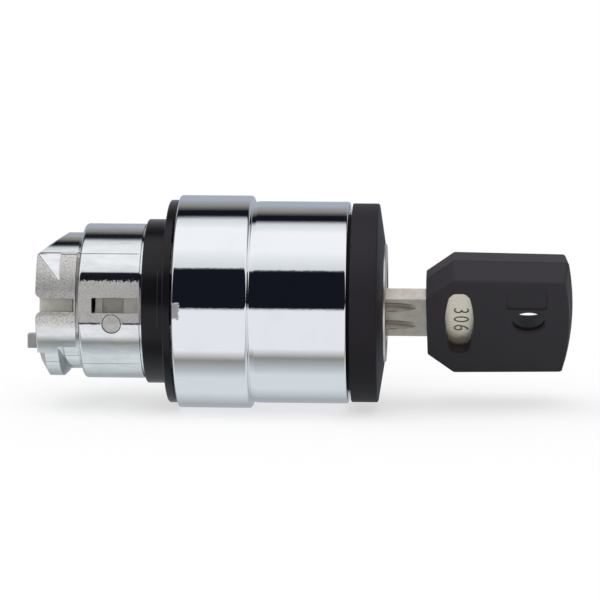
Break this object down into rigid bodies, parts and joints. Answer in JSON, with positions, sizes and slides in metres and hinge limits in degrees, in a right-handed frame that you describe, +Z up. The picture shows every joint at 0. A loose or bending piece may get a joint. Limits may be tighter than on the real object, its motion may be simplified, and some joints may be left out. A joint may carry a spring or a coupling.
{
  "type": "key selector switch head",
  "caption": "Round chromed key switch head for a panel hole: lock, black ring and key in front, gasket and zinc barrel with bayonet claws and two plungers behind.",
  "frame": {"origin": "centre of the panel hole in the plane of the panel's front face, where the gasket seats", "axes": "+X along the head's axis towards the key, +Z up as in the picture, -Y towards the side that shows the window and the pin"},
  "size_m": [0.0744, 0.029, 0.029],
  "materials": {
    "cast_zinc": "die cast, satin",
    "bezel_chrome": "bright plated",
    "gasket_rubber": "smooth",
    "seal_rubber": "smooth",
    "cap_black": "moulded, satin",
    "lock_nickel": "nickel plated",
    "zinc_plated_steel": "zinc plated",
    "spring_steel": "drawn wire",
    "wafer_brass": "stamped",
    "cam_white": "moulded",
    "pusher_grey": "moulded",
    "key_nickel": "nickel plated",
    "bow_black": "moulded, satin"
  },
  "bodies": {
    "head": {"barrel_casting": "cast_zinc", "bezel_shell": "bezel_chrome", "panel_gasket": "gasket_rubber", "front_cap": "cap_black", "cap_o_ring": "seal_rubber", "lock_stator": "lock_nickel", "lock_ring_nut": "zinc_plated_steel", "retaining_pin": "cast_zinc", "pusher_guide": "cam_white", "pusher_spring_low": "spring_steel", "pusher_spring_high": "spring_steel"},
    "plug": {"lock_plug": "lock_nickel", "wafer_1": "wafer_brass", "wafer_2": "wafer_brass", "wafer_3": "wafer_brass", "wafer_4": "wafer_brass", "wafer_5": "wafer_brass", "wafer_spring_1": "spring_steel", "wafer_spring_2": "spring_steel", "wafer_spring_3": "spring_steel", "wafer_spring_4": "spring_steel", "wafer_spring_5": "spring_steel", "plug_clip": "spring_steel", "cam_drum": "cam_white", "detent_ball": "spring_steel", "detent_spring": "spring_steel"},
    "key": {"key_blade": "key_nickel", "key_bow": "bow_black"},
    "plunger_low": {"pusher_low": "pusher_grey"},
    "plunger_high": {"pusher_high": "pusher_grey"}
  },
  "joints": [
    {"name": "key_turn", "type": "hinge", "parent": "head", "child": "plug", "pos_m": [0, 0, 0], "axis": [1, 0, 0], "range_deg": [0, 90]},
    {"name": "key_withdraw", "type": "slide", "parent": "plug", "child": "key", "axis": [1, 0, 0], "range_m": [0, 0.024]},
    {"name": "plunger_low_slide", "type": "slide", "parent": "head", "child": "plunger_low", "axis": [1, 0, 0], "range_m": [0, 0.003], "deforming": ["pusher_spring_low"]},
    {"name": "plunger_high_slide", "type": "slide", "parent": "head", "child": "plunger_high", "axis": [-1, 0, 0], "range_m": [0, 0.003], "deforming": ["pusher_spring_high"]}
  ],
  "couplings": [
    {"joint": "plunger_low_slide", "follows": "key_turn", "m_per_rad": 0.0019099},
    {"joint": "plunger_high_slide", "follows": "key_turn", "m_per_rad": 0.0019099}
  ]
}
